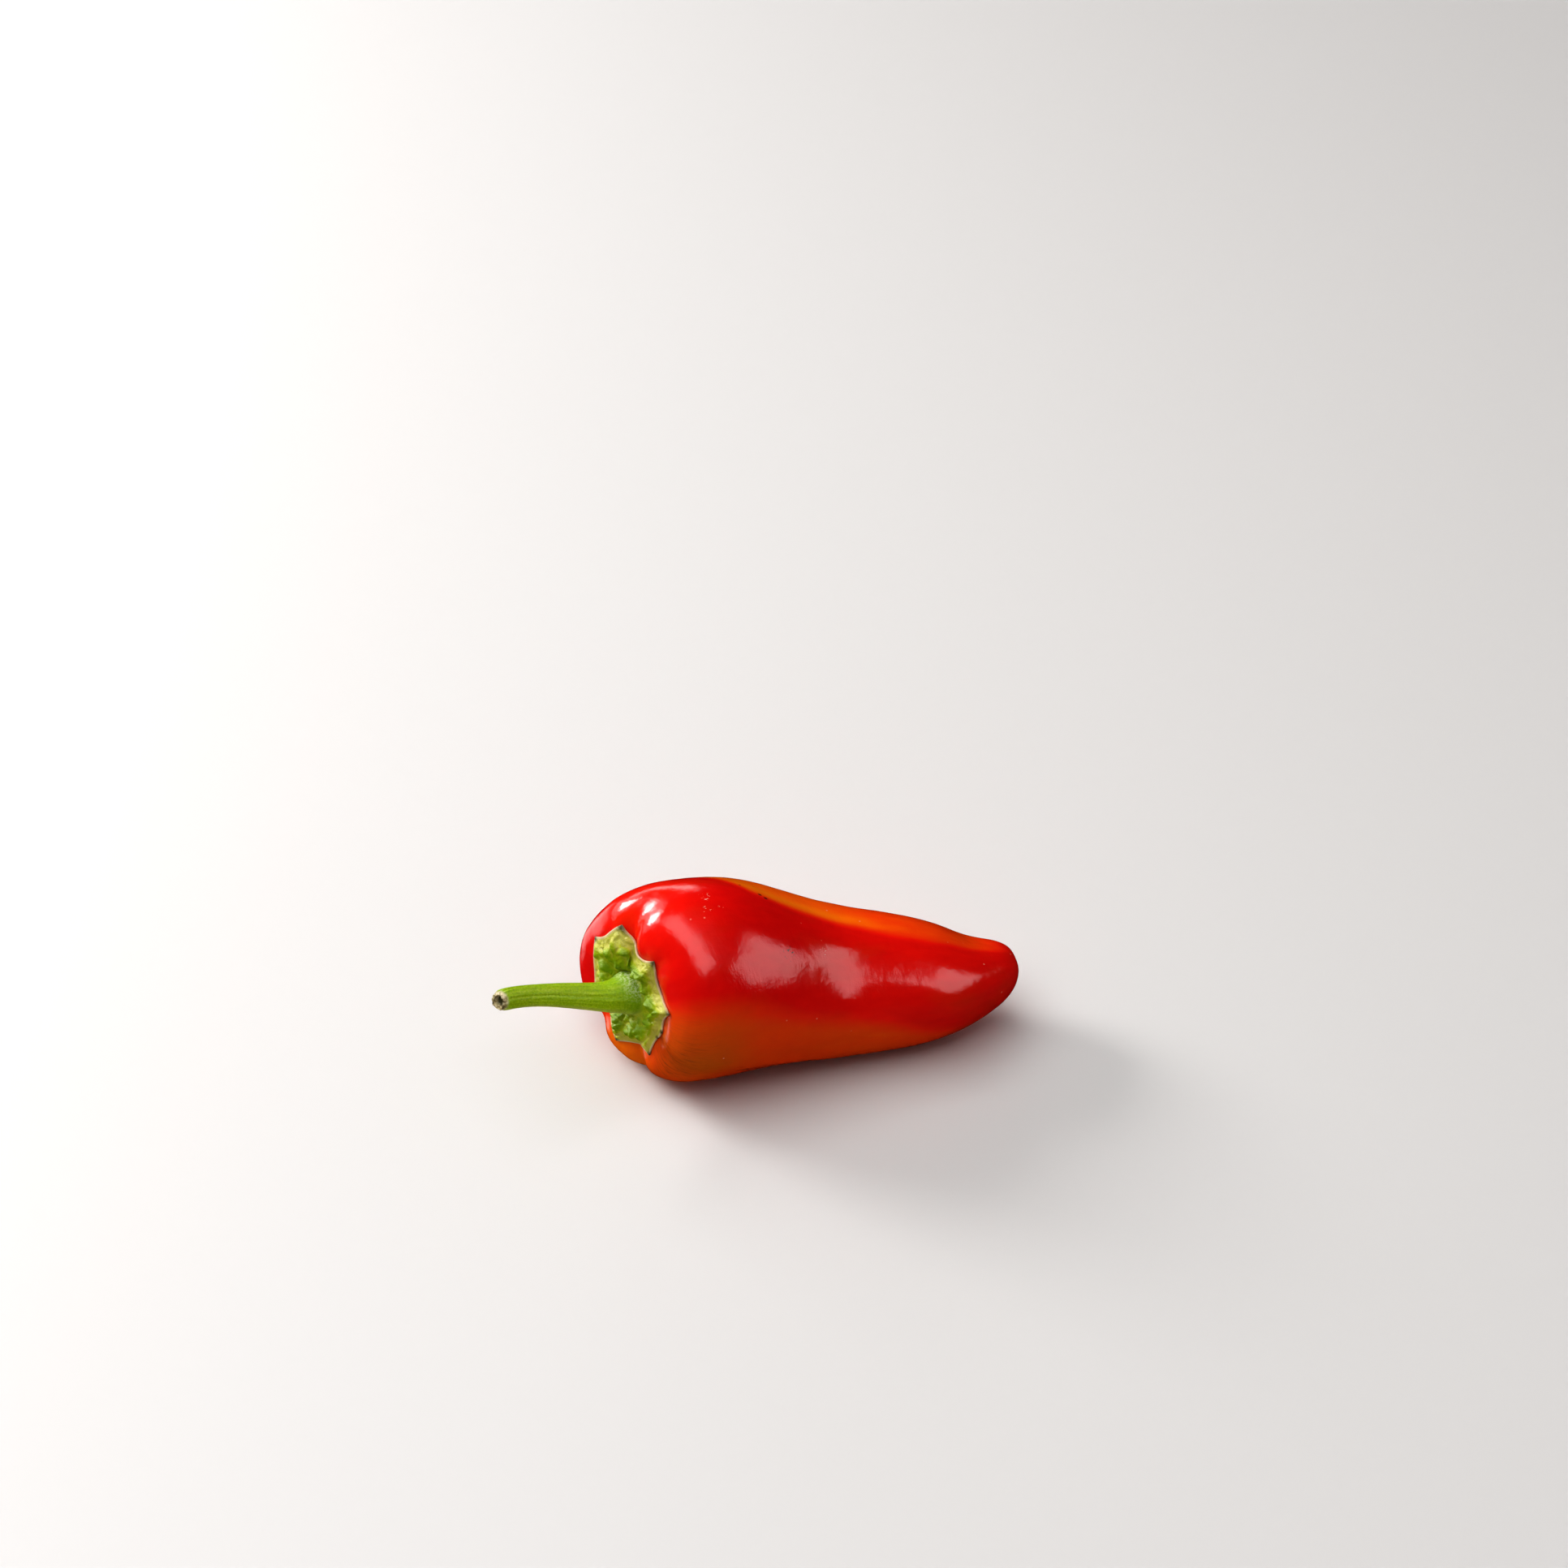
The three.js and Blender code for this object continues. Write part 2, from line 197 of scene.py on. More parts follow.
fruit, ring, side = closed_form("fruit_skin", FRUIT_SIDES, FRUIT_RINGS)
distance = np.clip(ring / FRUIT_RINGS, 0, 1) * SKIN_LENGTH
angle = side * 360.0 / FRUIT_SIDES
points = skin_point(distance, angle)
dimples = 0.06 * noise_at(points, 5.0) + 0.025 * noise_at(points, 2.2, 7.0)
dimples[(ring == 0) | (ring == FRUIT_RINGS)] = 0
points = skin_point(distance, angle, dimples)
points[:, 2] = np.maximum(points[:, 2], points[:, 2].min() + FLAT_SPOT)
points[:, 2] += BASE[2] - points[:, 2].min()
set_points(fruit, points)

# How ripe the skin is, from 0, olive, through orange to 1, deep red. The red flank ends at an upper
# edge, over which the far side is orange, and at a lower edge, under which the skin is browner. Both
# are angles at a distance over the skin, and both zones fade out at a seam on the hidden side.
UPPER_EDGE = [
    (0, -60), (30, -44), (35, -32), (37, -26), (40, -18), (46, -13),
    (52, -12), (60, -8), (66, 0), (74, 6), (82, 8), (96, 8),
]
LOWER_EDGE = [(0, 50), (16, 57), (24, 62), (37, 68), (47, 73), (55, 77), (63, 82), (71, 94), (96, 130)]
HIDDEN_SEAM = -120
upper_edge = np.interp(distance, *np.transpose(UPPER_EDGE))
lower_edge = np.interp(distance, *np.transpose(LOWER_EDGE))
turned = (angle - HIDDEN_SEAM) % 360 + HIDDEN_SEAM
before_tip = smooth((SKIN_LENGTH - distance) / 14)
ripe = np.interp(distance, [0, 20, 42, 58, 96], [1.0, 1.0, 0.97, 0.91, 0.9])
ripe -= 0.2 * hump((distance - 17) / 13) * hump(turn_between(angle, -25) / 60)
far_side = smooth((upper_edge - turned) / 16 + 0.5) * before_tip
far_side *= smooth((turned - HIDDEN_SEAM) / 50) * smooth((distance - 24) / 12)
ripe -= far_side * np.interp(distance, [40, 52, 64], [0.5, 0.42, 0.28])
valley = hump((turned - upper_edge + 9) / 7) * smooth((distance - 34) / 8) * smooth((74 - distance) / 18)
ripe -= 0.15 * valley
below = smooth((turned - lower_edge) / 26 + 0.5) * before_tip
below *= smooth((HIDDEN_SEAM + 360 - turned) / 60) * smooth((100 - distance) / 45)
ripe -= below * 0.26
ripe -= 0.34 * hump((distance - 15) / 13) * hump(turn_between(angle, 178) / 42)
set_measure(fruit, "ripeness", np.clip(ripe, 0, 1))
olive = 0.75 * hump((distance - 20) / 11) * hump(turn_between(angle, 98) / 30) + 0.4 * below
set_measure(fruit, "olive", olive)
set_measure(fruit, "striated", hump((distance - 14.5) / 7) * hump(turn_between(angle, 112) / 34))
set_grown(fruit, angle, distance)


def node_material(name):
    material = bpy.data.materials.new(name)
    material.use_nodes = True
    nodes = material.node_tree.nodes
    links = material.node_tree.links
    shader = nodes["Principled BSDF"]
    return material, nodes, links, shader


def noise_node(nodes, links, coordinates, scale, detail=3, roughness=0.55, distortion=0.0):
    node = nodes.new("ShaderNodeTexNoise")
    node.inputs["Scale"].default_value = scale
    node.inputs["Detail"].default_value = detail
    node.inputs["Roughness"].default_value = roughness
    node.inputs["Distortion"].default_value = distortion
    links.new(coordinates, node.inputs["Vector"])
    return node


def maths(nodes, links, operation, first, second, third=None, clamp=False):
    node = nodes.new("ShaderNodeMath")
    node.operation = operation
    node.use_clamp = clamp
    for socket, value in zip(node.inputs, (first, second, third)):
        if value is None:
            continue
        if isinstance(value, (int, float)):
            socket.default_value = value
        else:
            links.new(value, socket)
    return node.outputs[0]


def mapped(nodes, links, coordinates, scale):
    node = nodes.new("ShaderNodeMapping")
    node.inputs["Scale"].default_value = scale
    links.new(coordinates, node.inputs["Vector"])
    return node.outputs["Vector"]


def mixed(nodes, links, factor, first, second):
    """The first colour where the factor is 0, the second where it is 1."""
    node = nodes.new("ShaderNodeMix")
    node.data_type = "RGBA"
    for socket, value in ((node.inputs[0], factor), (node.inputs[6], first), (node.inputs[7], second)):
        if isinstance(value, tuple):
            socket.default_value = (*value, 1)
        elif isinstance(value, (int, float)):
            socket.default_value = value
        else:
            links.new(value, socket)
    return node.outputs[2]


def attribute(nodes, name, output="Fac"):
    node = nodes.new("ShaderNodeAttribute")
    node.attribute_name = name
    return node.outputs[output]


def ramped(nodes, links, value, stops):
    """The colour at the value, on a ramp with a stop for each (value, colour)."""
    ramp = nodes.new("ShaderNodeValToRGB")
    while len(ramp.color_ramp.elements) < len(stops):
        ramp.color_ramp.elements.new(0.5)
    for element, (at, colour) in zip(ramp.color_ramp.elements, stops):
        element.position = at
        element.color = (*colour, 1)
    links.new(value, ramp.inputs["Fac"])
    return ramp.outputs["Color"]


def relieve(nodes, links, shader, height, depth):
    """Fine relief on the surface, as deep as this in millimetres where the height goes from 0 to 1."""
    bump = nodes.new("ShaderNodeBump")
    bump.inputs["Strength"].default_value = 1.0
    bump.inputs["Distance"].default_value = depth * MM
    links.new(height, bump.inputs["Height"])
    links.new(bump.outputs["Normal"], shader.inputs["Normal"])


def within(nodes, links, place, middle, radius):
    """1 at a point of the skin, given in millimetres over the base, down to 0 a radius away."""
    apart = nodes.new("ShaderNodeVectorMath")
    apart.operation = "DISTANCE"
    links.new(place, apart.inputs[0])
    apart.inputs[1].default_value = (np.asarray(middle) * MM).tolist()
    return maths(nodes, links, "MULTIPLY_ADD", apart.outputs["Value"], -1 / (radius * MM), 1.0, clamp=True)


def on_skin(at, turned):
    """The place of the skin at a distance from the calyx and an angle, in millimetres over the base."""
    return skin_point(np.array([at]), np.array([turned]))[0] - BASE


# The scar of the flower and three pits, dry scratches and a group of dark speckles, each as its place
# and radius in millimetres
SCAR = on_skin(SKIN_LENGTH - 0.05, 0)
PITS = [(SCAR, 0.6), (on_skin(41.9, -17), 0.5), (on_skin(42.8, -14), 0.55), (on_skin(38.7, -25), 0.3)]
SCUFFS = [(on_skin(29, -7), 1.4), (on_skin(27.6, 3), 1.2), (on_skin(31, 2), 0.9), (on_skin(52, 24), 1.1)]
SPECKLES = (on_skin(43.9, 31), 1.9)
# the skin's colour at each ripeness, and the colours of its marks
RIPENESS_COLOURS = [
    (0.0, (0.42, 0.17, 0.004)),
    (0.25, (0.84, 0.21, 0.003)),
    (0.45, (0.85, 0.13, 0.002)),
    (0.65, (0.80, 0.045, 0.002)),
    (0.82, (0.76, 0.008, 0.003)),
    (1.0, (0.53, 0.0012, 0.002)),
]
BROWN_TINGE = (0.38, 0.09, 0.003)
DARK_LINE = (0.09, 0.035, 0.006)
PIT_FLOOR = (0.11, 0.012, 0.005)
PALE_PORE = (0.80, 0.42, 0.30)
DRY_SCRATCH = (0.78, 0.52, 0.40)
DARK_SPECKLE = (0.10, 0.008, 0.004)
SKIN_RELIEF = 0.034
SKIN_ROUGHNESS = 0.145
SKIN_GLOSS = 0.2
skin, nodes, links, shader = node_material("pepper_skin")
place = nodes.new("ShaderNodeTexCoord").outputs["Object"]
grown = attribute(nodes, "grown", "Vector")
clouds = noise_node(nodes, links, mapped(nodes, links, place, (0.35, 1, 1)), 120, detail=4)
grain = noise_node(nodes, links, mapped(nodes, links, grown, (9, 9, 0.25)), 1, detail=4)
value = maths(nodes, links, "MULTIPLY_ADD", clouds.outputs["Fac"], 0.16, attribute(nodes, "ripeness"))
value = maths(nodes, links, "MULTIPLY_ADD", grain.outputs["Fac"], 0.10, value)
value = maths(nodes, links, "SUBTRACT", value, 0.13)
colour = ramped(nodes, links, value, RIPENESS_COLOURS)
tinge = maths(nodes, links, "MULTIPLY_ADD", clouds.outputs["Fac"], 0.6, -0.3)
tinge = maths(nodes, links, "ADD", tinge, attribute(nodes, "olive"))
tinge = maths(nodes, links, "MULTIPLY", tinge, 0.75, clamp=True)
colour = mixed(nodes, links, tinge, colour, BROWN_TINGE)
# fine dark lines that run out from the calyx over the least ripe part of the shoulder
striae = noise_node(nodes, links, mapped(nodes, links, grown, (60, 60, 0.3)), 1, detail=3, roughness=0.7)
striped = maths(nodes, links, "MULTIPLY_ADD", striae.outputs["Fac"], 5.0, -2.4, clamp=True)
striated = maths(nodes, links, "MULTIPLY", attribute(nodes, "striated"), 0.7)
striped = maths(nodes, links, "MULTIPLY", striped, striated)
colour = mixed(nodes, links, striped, colour, DARK_LINE)
# the scar and the pits have dark floors
for spot, radius in PITS:
    pit = maths(nodes, links, "MULTIPLY", within(nodes, links, place, spot, radius), 2.0, clamp=True)
    colour = mixed(nodes, links, pit, colour, PIT_FLOOR)
# pale pores, few and far between
specks = nodes.new("ShaderNodeTexVoronoi")
specks.inputs["Scale"].default_value = 330
links.new(place, specks.inputs["Vector"])
speck = maths(nodes, links, "MULTIPLY_ADD", specks.outputs["Distance"], -16.0, 1.25, clamp=True)
chosen = nodes.new("ShaderNodeSeparateColor")
links.new(specks.outputs["Color"], chosen.inputs["Color"])
rare = maths(nodes, links, "GREATER_THAN", chosen.outputs["Red"], 0.72)
speck = maths(nodes, links, "MULTIPLY", speck, maths(nodes, links, "MULTIPLY", rare, 0.55))
colour = mixed(nodes, links, speck, colour, PALE_PORE)
# dry scratches, longer along the fruit
lengthwise = mapped(nodes, links, place, (1, 2.6, 2.6))
scuffs = noise_node(nodes, links, lengthwise, 1500, detail=3, distortion=0.6)
scuffed = maths(nodes, links, "MULTIPLY_ADD", scuffs.outputs["Fac"], 14.0, -8.6, clamp=True)
for spot, radius in SCUFFS:
    scuff = maths(nodes, links, "MULTIPLY", within(nodes, links, place, spot, radius), 2.5, clamp=True)
    scuff = maths(nodes, links, "MULTIPLY", scuff, scuffed)
    colour = mixed(nodes, links, scuff, colour, DRY_SCRATCH)
# the dark speckles
grit = noise_node(nodes, links, place, 2300, detail=1)
speckled = maths(nodes, links, "MULTIPLY_ADD", grit.outputs["Fac"], 16.0, -9.6, clamp=True)
near_them = maths(nodes, links, "MULTIPLY", within(nodes, links, place, *SPECKLES), 1.6, clamp=True)
speckled = maths(nodes, links, "MULTIPLY", speckled, near_them)
colour = mixed(nodes, links, speckled, colour, DARK_SPECKLE)
links.new(colour, shader.inputs["Base Color"])
shader.inputs["Roughness"].default_value = SKIN_ROUGHNESS
shader.inputs["IOR"].default_value = 1.45
shader.inputs["Specular IOR Level"].default_value = SKIN_GLOSS
shader.inputs["Subsurface Weight"].default_value = 0.05
shader.inputs["Subsurface Radius"].default_value = (1.0, 0.25, 0.1)
shader.inputs["Subsurface Scale"].default_value = 0.002
# the skin's own fine relief: strokes across the fruit, pores and faint waves
strokes = noise_node(nodes, links, mapped(nodes, links, grown, (6, 6, 1.3)), 1, detail=4, roughness=0.6)
pores = noise_node(nodes, links, place, 2600, detail=2)
relief = maths(nodes, links, "MULTIPLY_ADD", pores.outputs["Fac"], 0.6, strokes.outputs["Fac"])
waves = noise_node(nodes, links, place, 520, detail=1)
relief = maths(nodes, links, "MULTIPLY_ADD", waves.outputs["Fac"], 1.5, relief)
relieve(nodes, links, shader, relief, SKIN_RELIEF)
fruit.data.materials.append(skin)
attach(fruit, "root")
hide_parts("fruit")

# Calyx and stem
# The green cap of grown-together sepals and the stem that it ends in, one piece of tissue. The cap
# clings to the hollow of the shoulder, bulges between its veins and has a thin dry edge.
# the tips of the cap's edge: angle, reach over the skin, and depth of the scallop to the next tip
EDGE = [
    (-61, 13.2, 1.2), (-26, 14.8, 3.2), (14, 12.9, 3.8), (62, 12.3, 2.0), (94, 9.4, 0.2),
    (113, 8.6, 0.6), (131, 11.0, 2.0), (184, 11.6, 1.2), (240, 10.8, 1.0),
]
# angle, place from the stem (0) to the edge (1), half width in degrees, half length, height
BULGES = [
    (-66, 0.85, 8, 0.1, 0.5), (-72, 0.64, 9, 0.14, 0.7), (-46, 0.75, 7, 0.12, 0.7),
    (-40, 0.52, 8, 0.12, 0.7), (-19, 0.5, 6, 0.22, 0.8), (3, 0.58, 11, 0.18, 1.1),
    (30, 0.34, 13, 0.14, 0.9), (60, 0.4, 14, 0.16, 1.0), (72, 0.76, 8, 0.14, 0.6),
    (105, 0.52, 9, 0.2, 0.8), (140, 0.52, 8, 0.2, 0.9), (165, 0.68, 6, 0.18, 0.7),
    (190, 0.62, 9, 0.16, 0.9), (225, 0.6, 11, 0.18, 0.8), (264, 0.68, 10, 0.15, 0.7),
]
# the cap over the skin, and the round seat of the stem in its middle
CALYX_GAP = 0.05
EDGE_THICKNESS = 0.4
MIDDLE_THICKNESS = 1.75
CALYX_START = 3.0
SEAT_RADIUS, SEAT_HEIGHT, SEAT_BACK, SEAT_BLEND = 4.1, 2.5, 1.8, 0.42
SEAT_SPREAD, SEAT_DROP = 2.0, 3.5
# the stem's middle line from its root, and its radius at a distance from there
STEM_LINE = [
    (0, 0, 0), (-2.6, -1, 0.7), (-6.6, -1.4, 2), (-12.4, -2.1, 4.5),
    (-18.4, -3.3, 6.9), (-22.4, -5, 8.7), (-24.4, -6.5, 9.9),
]
STEM_RADIUS = [
    (0, 4.1), (1.2, 3.6), (2.6, 3.15), (4.5, 2.8), (7, 2.55), (9.5, 2.42), (12, 2.3),
    (15, 2.15), (18, 2.04), (21, 2.0), (24.8, 2.02), (26, 1.93), (26.9, 1.62), (27.3, 1.45),
]
STEM_TURN_IN = 4.0
STEM_SINK = 0.3

around = np.arange(0, 360, 5.625)
seat_axis = skin_normal(np.full(around.shape, 0.4), around).mean(0)
seat_axis /= np.linalg.norm(seat_axis)
seat_up = np.array([0, 0, 1.0]) - seat_axis[2] * seat_axis
seat_up /= np.linalg.norm(seat_up)
seat_front = np.cross(seat_axis, seat_up)
seat_front *= -np.sign(seat_front[1])
pole = skin_point(np.zeros(1), np.zeros(1))[0]
seat = pole - seat_front * SEAT_BACK + seat_axis * SEAT_HEIGHT
root = seat + seat_axis * STEM_SINK


def edge_reach(angle):
    reach = np.zeros(np.shape(angle))
    for here, there in zip(EDGE, EDGE[1:] + EDGE[:1]):
        part = ((angle - here[0]) % 360) / ((there[0] - here[0]) % 360)
        straight = here[1] + (there[1] - here[1]) * part
        scalloped = straight - here[2] * (1 - (2 * part - 1) ** 2)
        reach = np.where(part < 1, scalloped, reach)
    return reach


def around_axis(angle, up, front):
    turn = np.radians(angle)[..., None]
    return np.cos(turn) * up + np.sin(turn) * front


def over_skin(place, angle, height):
    distance = CALYX_START + (edge_reach(angle) - CALYX_START) * place
    return skin_point(distance, angle) + skin_normal(distance, angle) * height[..., None]


def calyx_height(place, angle):
    height = CALYX_GAP + EDGE_THICKNESS + (MIDDLE_THICKNESS - EDGE_THICKNESS) * smooth((1 - place) / 0.35)
    for turned, at, width, length, high in BULGES:
        across = turn_between(angle, turned) / width
        height = height + 1.15 * high * np.exp(-((across**2 + ((place - at) / length) ** 2) ** 1.5))
    return height


def calyx_top(place, angle, relief=0.0):
    rim = (
        seat
        + around_axis(angle, seat_up, seat_front) * (SEAT_RADIUS + SEAT_SPREAD * place)[..., None]
        - seat_axis * (SEAT_DROP * place)[..., None]
    )
    blend = smooth(place / SEAT_BLEND)[..., None]
    return rim * (1 - blend) + over_skin(place, angle, calyx_height(place, angle) + relief) * blend


stem_u, stem_length = measure(STEM_LINE)


def stem_frame(distance):
    u = np.interp(distance, stem_length, stem_u)
    centre = curve_at(STEM_LINE, u) + root
    axis = curve_at(STEM_LINE, u + 1e-3) - curve_at(STEM_LINE, u - 1e-3)
    axis /= np.linalg.norm(axis, axis=-1)[..., None]
    follow = np.clip(distance / STEM_TURN_IN, 0, 1)[..., None]
    axis = seat_axis * (1 - follow) + axis * follow
    axis /= np.linalg.norm(axis, axis=-1)[..., None]
    up = seat_up - (axis @ seat_up)[..., None] * axis
    up /= np.linalg.norm(up, axis=-1)[..., None]
    front = np.cross(axis, up)
    front = front * -np.sign(front[..., 1])[..., None]
    return centre, axis, up, front


# Rings from the middle of the cut end, down the stem, over the cap to its edge and back beneath it.
# Those of the cut end are a radius and a height over it.
CUT_RINGS = [
    (0.0, -1.3), (0.4, -1.3), (0.78, -1.2), (0.95, -0.9), (1.06, -0.5),
    (1.15, -0.12), (1.22, 0.05), (1.32, 0.08), (1.41, 0.0),
]
STEM_STEPS = 110
TOP_STEPS = 64
RIM_STEPS = 4
UNDER_STEPS = 12
CALYX_SIDES = 270
top_end = len(CUT_RINGS) + STEM_STEPS + TOP_STEPS
all_rings = top_end + RIM_STEPS + UNDER_STEPS
calyx, ring, side = closed_form("calyx_with_stem", CALYX_SIDES, all_rings)

# the sides are shared out so that one runs to each tip of the edge
steps = [round(((b[0] - a[0]) % 360) * CALYX_SIDES / 360) for a, b in zip(EDGE, EDGE[1:] + EDGE[:1])]
steps[-1] += CALYX_SIDES - sum(steps)
side_angles = np.concatenate([
    here[0] + np.arange(count) * ((there[0] - here[0]) % 360) / count
    for here, there, count in zip(EDGE, EDGE[1:] + EDGE[:1], steps)
])
angle = side_angles[side]
points = np.zeros((len(ring), 3))
length = stem_length[-1]
radius_at, radius_of = np.array(STEM_RADIUS).T
radius_at = radius_at * length / radius_at[-1]

on_cut = ring < len(CUT_RINGS)
cut_radius, cut_depth = np.array(CUT_RINGS)[np.minimum(ring, len(CUT_RINGS) - 1)].T
centre, axis, up, front = stem_frame(np.full(len(ring), length))
turn = np.radians(angle)
ragged = 0.13 * np.sin(3 * turn + 0.6) + 0.08 * np.sin(5 * turn + 2.0) + 0.05 * np.sin(9 * turn)
end_radius = cut_radius * (1 + ragged * smooth(cut_radius / 0.8))
end_lift = cut_depth + 0.16 * np.sin(2 * turn + 1.0) * smooth(cut_radius / 0.9)
end = centre + around_axis(angle, up, front) * end_radius[:, None] + axis * end_lift[:, None]
points[on_cut] = end[on_cut]

on_stem = (ring >= len(CUT_RINGS)) & (ring < len(CUT_RINGS) + STEM_STEPS)
down = (ring - len(CUT_RINGS) + 0.6) / (STEM_STEPS + 0.6)
distance = length * (1 - np.clip(down, 0, 1))
centre, axis, up, front = stem_frame(distance)
radius = np.interp(distance, radius_at, radius_of)
ribs = 0.05 * np.sin(11 * turn + 0.5) + 0.04 * np.sin(17 * turn + 1.7) + 0.03 * np.sin(5 * turn)
radius = radius + ribs * smooth(distance / 5) * smooth((length - distance) / 1.5)
stem_side = centre + around_axis(angle, up, front) * radius[:, None]
points[on_stem] = stem_side[on_stem]

on_top = (ring >= len(CUT_RINGS) + STEM_STEPS) & (ring < top_end)
place_on_top = np.clip((ring - len(CUT_RINGS) - STEM_STEPS + 1) / TOP_STEPS, 0, 1)
flat_top = calyx_top(place_on_top, angle)
wrinkles = (
    1.15 * np.abs(noise_at(flat_top, 1.6, 3.0))
    + 0.32 * np.abs(noise_at(flat_top, 0.9, 9.0))
    + 0.12 * np.abs(noise_at(flat_top, 0.45, 5.0))
    - 0.22
)
wrinkles *= smooth((1 - place_on_top) / 0.12) * smooth((place_on_top - 0.1) / 0.2)
top = calyx_top(place_on_top, angle, wrinkles)
points[on_top] = top[on_top]

on_rim = (ring >= top_end) & (ring < top_end + RIM_STEPS)
rim_turn = np.clip((ring - top_end + 1) / (RIM_STEPS + 1), 0, 1) * math.pi
rim_height = CALYX_GAP + EDGE_THICKNESS * (0.5 + 0.5 * np.cos(rim_turn))
rim = over_skin(1 + 0.02 * np.sin(rim_turn), angle, rim_height)
points[on_rim] = rim[on_rim]

on_under = ring >= top_end + RIM_STEPS
inwards = np.clip((ring - top_end - RIM_STEPS) / UNDER_STEPS, 0, 1)
under = over_skin(1 - inwards, angle, np.full(len(ring), CALYX_GAP))
points[on_under] = under[on_under]
points[ring == all_rings] = pole + seat_axis * CALYX_GAP
set_points(calyx, points)

bulge = (calyx_height(place_on_top, angle) - CALYX_GAP - MIDDLE_THICKNESS + 0.45 + wrinkles * 1.6) / 1.2
bulge = np.where(on_top, np.clip(bulge, 0, 1) * smooth(place_on_top / 0.2), 0.3)
set_measure(calyx, "bulge", bulge)
tips = np.max([hump(turn_between(angle, tip[0]) / 2.5) for tip in EDGE], axis=0)
outwards = np.where(on_top, place_on_top, np.where(ring >= top_end, 1.0, 0.0))
set_measure(calyx, "outwards", outwards)
set_measure(calyx, "tips", tips * smooth((outwards - 0.9) / 0.08))
set_grown(calyx, angle, np.where(on_stem, distance, 0.0))
set_measure(calyx, "up_stem", np.where(on_cut, 1.0, np.where(on_stem, distance / length, 0.0)))
set_measure(calyx, "cut", np.where(on_cut, 1.0, smooth((distance / length - 0.955) / 0.03) * on_stem))
set_measure(calyx, "hollow", smooth((1.04 - cut_radius) / 0.25) * on_cut)

# the cap's colours from its low places to the tops of its bulges, the stem's and the cut end's from dark
# to pale, and those of single places, among them painted reflection, painted shade and a painted highlight
CAP_COLOURS = [
    (0.0, (0.50, 0.48, 0.075)),
    (0.25, (0.44, 0.46, 0.022)),
    (0.55, (0.31, 0.40, 0.003)),
    (1.0, (0.20, 0.32, 0.002)),
]
STEM_COLOURS = [
    (0.38, (0.23, 0.40, 0.002)),
    (0.52, (0.34, 0.52, 0.003)),
    (0.68, (0.50, 0.62, 0.04)),
]
CUT_COLOURS = [
    (0.32, (0.10, 0.07, 0.025)),
    (0.46, (0.42, 0.33, 0.16)),
    (0.6, (0.80, 0.70, 0.45)),
]
UNDERSIDE_PAINTED_REFLECTION = (0.62, 0.64, 0.16)
ROOT_PAINTED_SHADE = (0.13, 0.25, 0.002)
ROOT_PAINTED_GLINT = (0.66, 0.72, 0.42)
DRY_EDGE = (0.60, 0.46, 0.26)
DARK_TIP = (0.06, 0.045, 0.012)
HOLLOW_PAINTED_SHADE = (0.06, 0.055, 0.012)
GREEN_RELIEF = 0.27
GREEN_ROUGHNESS = 0.2
GREEN_GLOSS = 0.18
green, nodes, links, shader = node_material("calyx_and_stem_green")
place = nodes.new("ShaderNodeTexCoord").outputs["Object"]
grown = attribute(nodes, "grown", "Vector")
patches = noise_node(nodes, links, place, 700, detail=4)
tone = maths(nodes, links, "MULTIPLY_ADD", patches.outputs["Fac"], 0.5, attribute(nodes, "bulge"))
tone = maths(nodes, links, "SUBTRACT", tone, 0.25, clamp=True)
cap = ramped(nodes, links, tone, CAP_COLOURS)
fibres = noise_node(nodes, links, mapped(nodes, links, grown, (6, 6, 0.14)), 1, detail=4, roughness=0.55)
cells = noise_node(nodes, links, place, 2600, detail=2)
stem_tone = maths(nodes, links, "ADD", cells.outputs["Fac"], fibres.outputs["Fac"])
stem_tone = maths(nodes, links, "MULTIPLY", stem_tone, 0.5)
stem_colour = ramped(nodes, links, stem_tone, STEM_COLOURS)
# the stem is painted paler along its underside, a painted reflection
sides = nodes.new("ShaderNodeSeparateXYZ")
links.new(grown, sides.inputs["Vector"])
underside = maths(nodes, links, "MULTIPLY_ADD", sides.outputs["X"], -1.8, -0.25, clamp=True)
underside = maths(nodes, links, "MULTIPLY", underside, 0.6)
stem_colour = mixed(nodes, links, underside, stem_colour, UNDERSIDE_PAINTED_REFLECTION)
onto_cap = maths(nodes, links, "MULTIPLY", attribute(nodes, "outwards"), 5.0, clamp=True)
colour = mixed(nodes, links, onto_cap, stem_colour, cap)
# the root of the stem has painted shade where it meets the cap, and a painted highlight on its top side
low_stem = maths(nodes, links, "MULTIPLY_ADD", attribute(nodes, "up_stem"), -6.0, 1.0, clamp=True)
low_stem = maths(nodes, links, "MULTIPLY", low_stem, maths(nodes, links, "SUBTRACT", 1.0, onto_cap))
shaded = maths(nodes, links, "MULTIPLY", low_stem, maths(nodes, links, "SUBTRACT", 1.0, underside))
colour = mixed(nodes, links, maths(nodes, links, "MULTIPLY", shaded, 0.6), colour, ROOT_PAINTED_SHADE)
# painted highlight: pale glints on the top side of the stem's root
painted_glint = maths(nodes, links, "MULTIPLY_ADD", cells.outputs["Fac"], 6.0, -2.6, clamp=True)
upward = maths(nodes, links, "MULTIPLY_ADD", sides.outputs["X"], 1.6, -0.2, clamp=True)
painted_glint = maths(nodes, links, "MULTIPLY", maths(nodes, links, "MULTIPLY", painted_glint, upward), 0.7)
near_root = maths(nodes, links, "MULTIPLY_ADD", attribute(nodes, "up_stem"), -11.0, 1.0, clamp=True)
near_root = maths(nodes, links, "MULTIPLY", near_root, maths(nodes, links, "SUBTRACT", 1.0, onto_cap))
colour = mixed(nodes, links, maths(nodes, links, "MULTIPLY", painted_glint, near_root), colour, ROOT_PAINTED_GLINT)
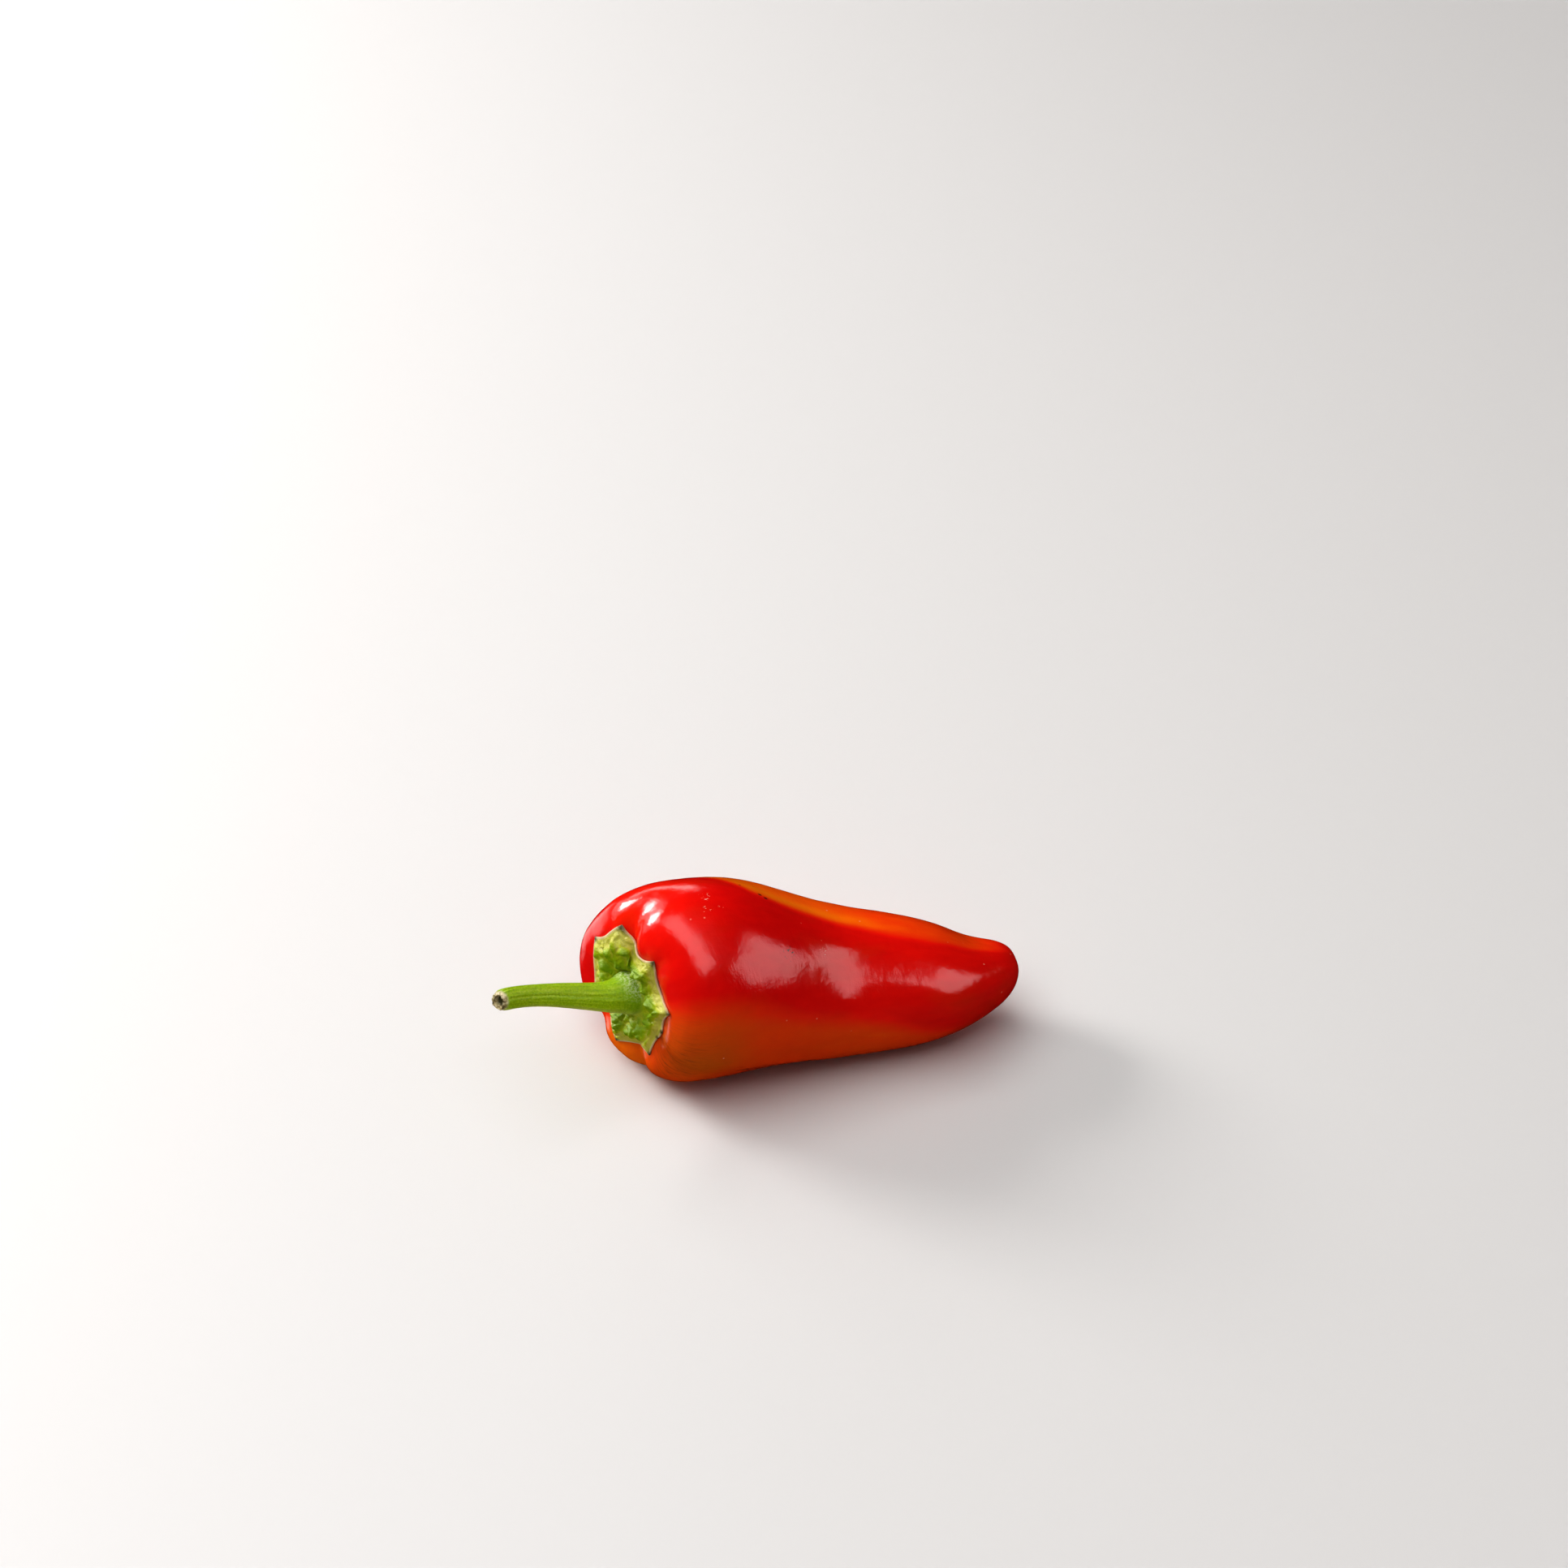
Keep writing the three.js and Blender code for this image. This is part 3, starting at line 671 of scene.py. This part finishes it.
dry_edge = maths(nodes, links, "MULTIPLY_ADD", attribute(nodes, "outwards"), 30.0, -29.0, clamp=True)
colour = mixed(nodes, links, dry_edge, colour, DRY_EDGE)
colour = mixed(nodes, links, attribute(nodes, "tips"), colour, DARK_TIP)
fray = noise_node(nodes, links, place, 1500, detail=4)
cut = ramped(nodes, links, fray.outputs["Fac"], CUT_COLOURS)
colour = mixed(nodes, links, attribute(nodes, "cut"), colour, cut)
# painted shade: the hollow of the cut end is painted near black
colour = mixed(nodes, links, attribute(nodes, "hollow"), colour, HOLLOW_PAINTED_SHADE)
links.new(colour, shader.inputs["Base Color"])
shader.inputs["Roughness"].default_value = GREEN_ROUGHNESS
shader.inputs["Specular IOR Level"].default_value = GREEN_GLOSS
shader.inputs["Subsurface Weight"].default_value = 0.08
shader.inputs["Subsurface Radius"].default_value = (0.6, 1.0, 0.05)
shader.inputs["Subsurface Scale"].default_value = 0.001
fine = noise_node(nodes, links, place, 2200, detail=4, roughness=0.65)
height = maths(nodes, links, "MULTIPLY_ADD", fibres.outputs["Fac"], 0.3, fine.outputs["Fac"])
relieve(nodes, links, shader, height, GREEN_RELIEF)
calyx.data.materials.append(green)
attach(calyx, "root")
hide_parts("calyx", "stem")

# Floor
# A plain pale surface under the fruit. It isn't mirrored by the skin: one of the panels of the light
# takes its place there.
FLOOR_COLOUR = (0.64, 0.624, 0.615, 1)
bpy.ops.mesh.primitive_plane_add(size=6, location=(0, 0, 0))
floor = bpy.context.object
floor.name = "floor"
paper, nodes, links, shader = node_material("floor_pale")
shader.inputs["Base Color"].default_value = FLOOR_COLOUR
shader.inputs["Roughness"].default_value = 0.6
floor.data.materials.append(paper)
floor.visible_glossy = False

# Light
# A key light from behind on the left and a soft one overhead, and panels that light nothing but are
# mirrored by the waxy skin. One of these is under the floor on the left, in place of the bright floor.

# name, direction from the fruit, distance, width and height in metres, watts
LIGHTS = [
    ("key", (-0.68, 0.60, 0.42), 0.9, 0.32, 0.32, 6.1),
    ("overhead", (-0.24, -0.06, 1.0), 1.0, 1.2, 0.95, 8.8),
]
MIRRORED = [
    ("card_behind", (-0.68, 0.60, 0.42), 1.5, 0.54, 0.54, 30),
    ("card_left", (-0.42, -0.10, 0.85), 1.5, 1.65, 0.75, 27),
    ("card_right", (0.63, -0.30, 0.65), 1.5, 1.5, 0.90, 30),
    ("card_halo", (-0.68, 0.62, 0.25), 1.5, 1.3, 0.95, 13),
    ("card_floor", (-0.55, 0.72, -0.4), 1.5, 0.9, 0.7, 3),
    ("card_wall", (-0.12, 0.95, 0.26), 1.5, 0.95, 0.3, 5),
]
KEY_COLOUR = (1, 0.98, 0.96)
ROOM_COLOUR = (1, 0.98, 0.97, 1)
ROOM_LIGHT = 0.13
AIM = Vector((0, 0, 0.015))


def panel(name, towards, distance, width, height, power):
    towards = Vector(towards).normalized()
    data = bpy.data.lights.new(name, "AREA")
    data.shape = "RECTANGLE"
    data.size = width
    data.size_y = height
    data.energy = power
    light = bpy.data.objects.new(name, data)
    light.location = AIM + towards * distance
    light.rotation_euler = towards.to_track_quat("Z", "Y").to_euler()
    bpy.context.collection.objects.link(light)
    return light


key, overhead = [panel(*row) for row in LIGHTS]
key.data.color = KEY_COLOUR
overhead.visible_glossy = False
for row in MIRRORED:
    card = panel(*row)
    card.visible_diffuse = False
room = bpy.data.worlds.new("room")
room.use_nodes = True
room.node_tree.nodes["Background"].inputs["Color"].default_value = ROOM_COLOUR
room.node_tree.nodes["Background"].inputs["Strength"].default_value = ROOM_LIGHT
room.cycles_visibility.glossy = False
bpy.context.scene.world = room
bpy.context.scene.view_settings.view_transform = "Standard"
bpy.context.scene.view_settings.look = "Medium High Contrast"

# Camera
# It looks down at the fruit as the photographer did, from the front and a little to the left.
CAMERA_TURN = math.radians(-12)
CAMERA_DOWN = math.radians(43.5)
CAMERA_PLACE = (-0.11129, -0.55045, 0.5992)
camera_data = bpy.data.cameras.new("camera")
camera_data.lens = 100
camera_data.sensor_width = 36
camera = bpy.data.objects.new("camera", camera_data)
camera.location = CAMERA_PLACE
camera.rotation_euler = (math.pi / 2 - CAMERA_DOWN, 0, CAMERA_TURN)
bpy.context.collection.objects.link(camera)
bpy.context.scene.camera = camera
